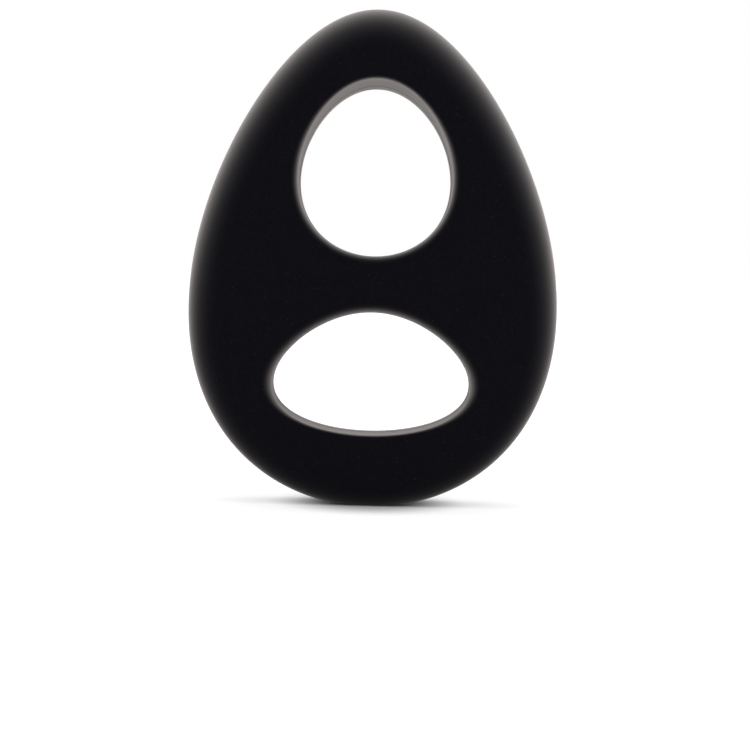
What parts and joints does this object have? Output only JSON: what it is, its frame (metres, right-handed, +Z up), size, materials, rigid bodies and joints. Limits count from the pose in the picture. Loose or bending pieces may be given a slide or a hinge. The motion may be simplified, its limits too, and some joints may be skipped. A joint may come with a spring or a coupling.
{
  "type": "soft stretch ring",
  "caption": "Egg-shaped elastic silicone ring with an oval opening above a wide low one, flat in front, dished behind and rising to a lip at its narrow end.",
  "frame": {"origin": "centre of the small flat foot under the wide end, midway through the wide end's depth", "axes": "+Z up along the length toward the narrow end, +Y back toward the lip, the flat front faces -Y, +X to the right seen from the front"},
  "size_m": [0.0668, 0.0326, 0.0896],
  "materials": {
    "silicone": "matte"
  },
  "bodies": {
    "root": {"ring_body": "silicone"}
  },
  "joints": []
}
